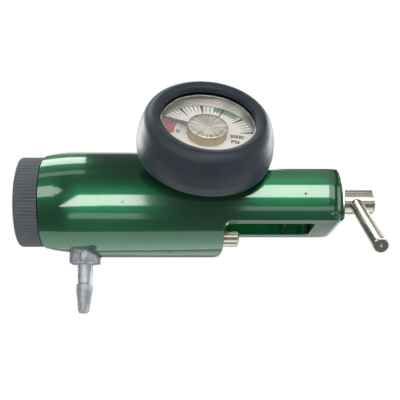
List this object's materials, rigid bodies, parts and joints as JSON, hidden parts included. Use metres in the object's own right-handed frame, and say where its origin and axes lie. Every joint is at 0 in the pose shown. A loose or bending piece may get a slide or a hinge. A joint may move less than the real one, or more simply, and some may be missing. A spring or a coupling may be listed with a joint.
{
  "type": "oxygen regulator",
  "caption": "Medical oxygen regulator with a pin-index yoke, a clicking flow knob, a hose barb, a T-handle clamp screw and a contents gauge in a rubber boot.",
  "frame": {"origin": "centre of the face where the yoke washer seals against the cylinder's valve post", "axes": "+X along the inlet axis towards the clamp screw, +Z away from the index pins, -Y to the side that the gauge leans to"},
  "size_m": [0.1271, 0.062, 0.079],
  "materials": {
    "body_green": "glossy green anodised",
    "knob_black": "black, slightly worn",
    "satin_metal": "satin",
    "nickel": "polished nickel",
    "steel": "satin",
    "brass_bright": "turned",
    "boot_rubber": "satin",
    "seal_rubber": "matt",
    "seat_polymer": "matt",
    "window_clear": "clear",
    "dial_print": "matt print",
    "pointer_paint": "matt"
  },
  "bodies": {
    "regulator": {"regulator_body": "body_green", "outlet_barb": "satin_metal", "index_pins": "nickel", "gauge_boot": "boot_rubber", "gauge_window": "window_clear", "gauge_bezel": "nickel", "gauge_dial": "dial_print", "inlet_nipple": "brass_bright", "inlet_filter": "brass_bright", "washer_ring": "brass_bright", "washer_seal": "seal_rubber", "gauge_case": "steel", "gauge_stem": "brass_bright", "gauge_seal": "seat_polymer", "bourdon_coil": "brass_bright", "seat_nozzle": "brass_bright", "piston_spring": "steel", "selector_housing": "satin_metal", "housing_o_rings": "seal_rubber", "housing_ring": "steel", "port_seal": "seal_rubber", "detent_ball": "steel", "detent_spring": "steel", "barb_seal": "seat_polymer", "relief_cap": "brass_bright", "relief_spring": "steel"},
    "knob": {"selector_knob": "knob_black", "knob_screw": "steel", "selector_spindle": "steel", "orifice_disc": "brass_bright"},
    "screw_ring": {"screw_retaining_ring": "steel"},
    "screw": {"clamp_screw": "nickel"},
    "bar": {"tee_bar": "nickel"},
    "pointer": {"gauge_pointer": "pointer_paint", "gauge_hub": "brass_bright"},
    "piston_group": {"piston": "brass_bright", "valve_seat": "seat_polymer", "piston_o_ring": "seal_rubber", "stem_o_ring": "seal_rubber"},
    "poppet": {"relief_poppet": "brass_bright"}
  },
  "joints": [
    {"name": "knob_turn", "type": "hinge", "parent": "regulator", "child": "knob", "pos_m": [-0.07, 0, 0], "axis": [-1, 0, 0], "continuous": true},
    {"name": "screw_feed", "type": "slide", "parent": "regulator", "child": "screw_ring", "axis": [1, 0, 0], "range_m": [0, 0.00706]},
    {"name": "screw_turn", "type": "hinge", "parent": "screw_ring", "child": "screw", "pos_m": [0.0454, 0, 0], "axis": [1, 0, 0], "range_deg": [0, 1800]},
    {"name": "bar_slide", "type": "slide", "parent": "screw", "child": "bar", "axis": [0, 0.866, 0.5], "range_m": [0, 0.0375]},
    {"name": "pointer_turn", "type": "hinge", "parent": "regulator", "child": "pointer", "pos_m": [-0.00838, -0.02491, 0.0181], "axis": [-0.1167, 0.8035, -0.5838], "range_deg": [-24, 138]},
    {"name": "piston_travel", "type": "slide", "parent": "regulator", "child": "piston_group", "axis": [1, 0, 0], "range_m": [0, 0.0008], "stiffness_N_per_m": 2000, "springref_m": -0.002, "deforming": ["piston_spring"]},
    {"name": "relief_lift", "type": "slide", "parent": "regulator", "child": "poppet", "axis": [0, 1, 0], "range_m": [0, 0.0004], "stiffness_N_per_m": 300, "springref_m": -0.002, "deforming": ["relief_spring"]}
  ],
  "couplings": [
    {"joint": "screw_feed", "follows": "screw_turn", "m_per_rad": 0.00022458}
  ]
}
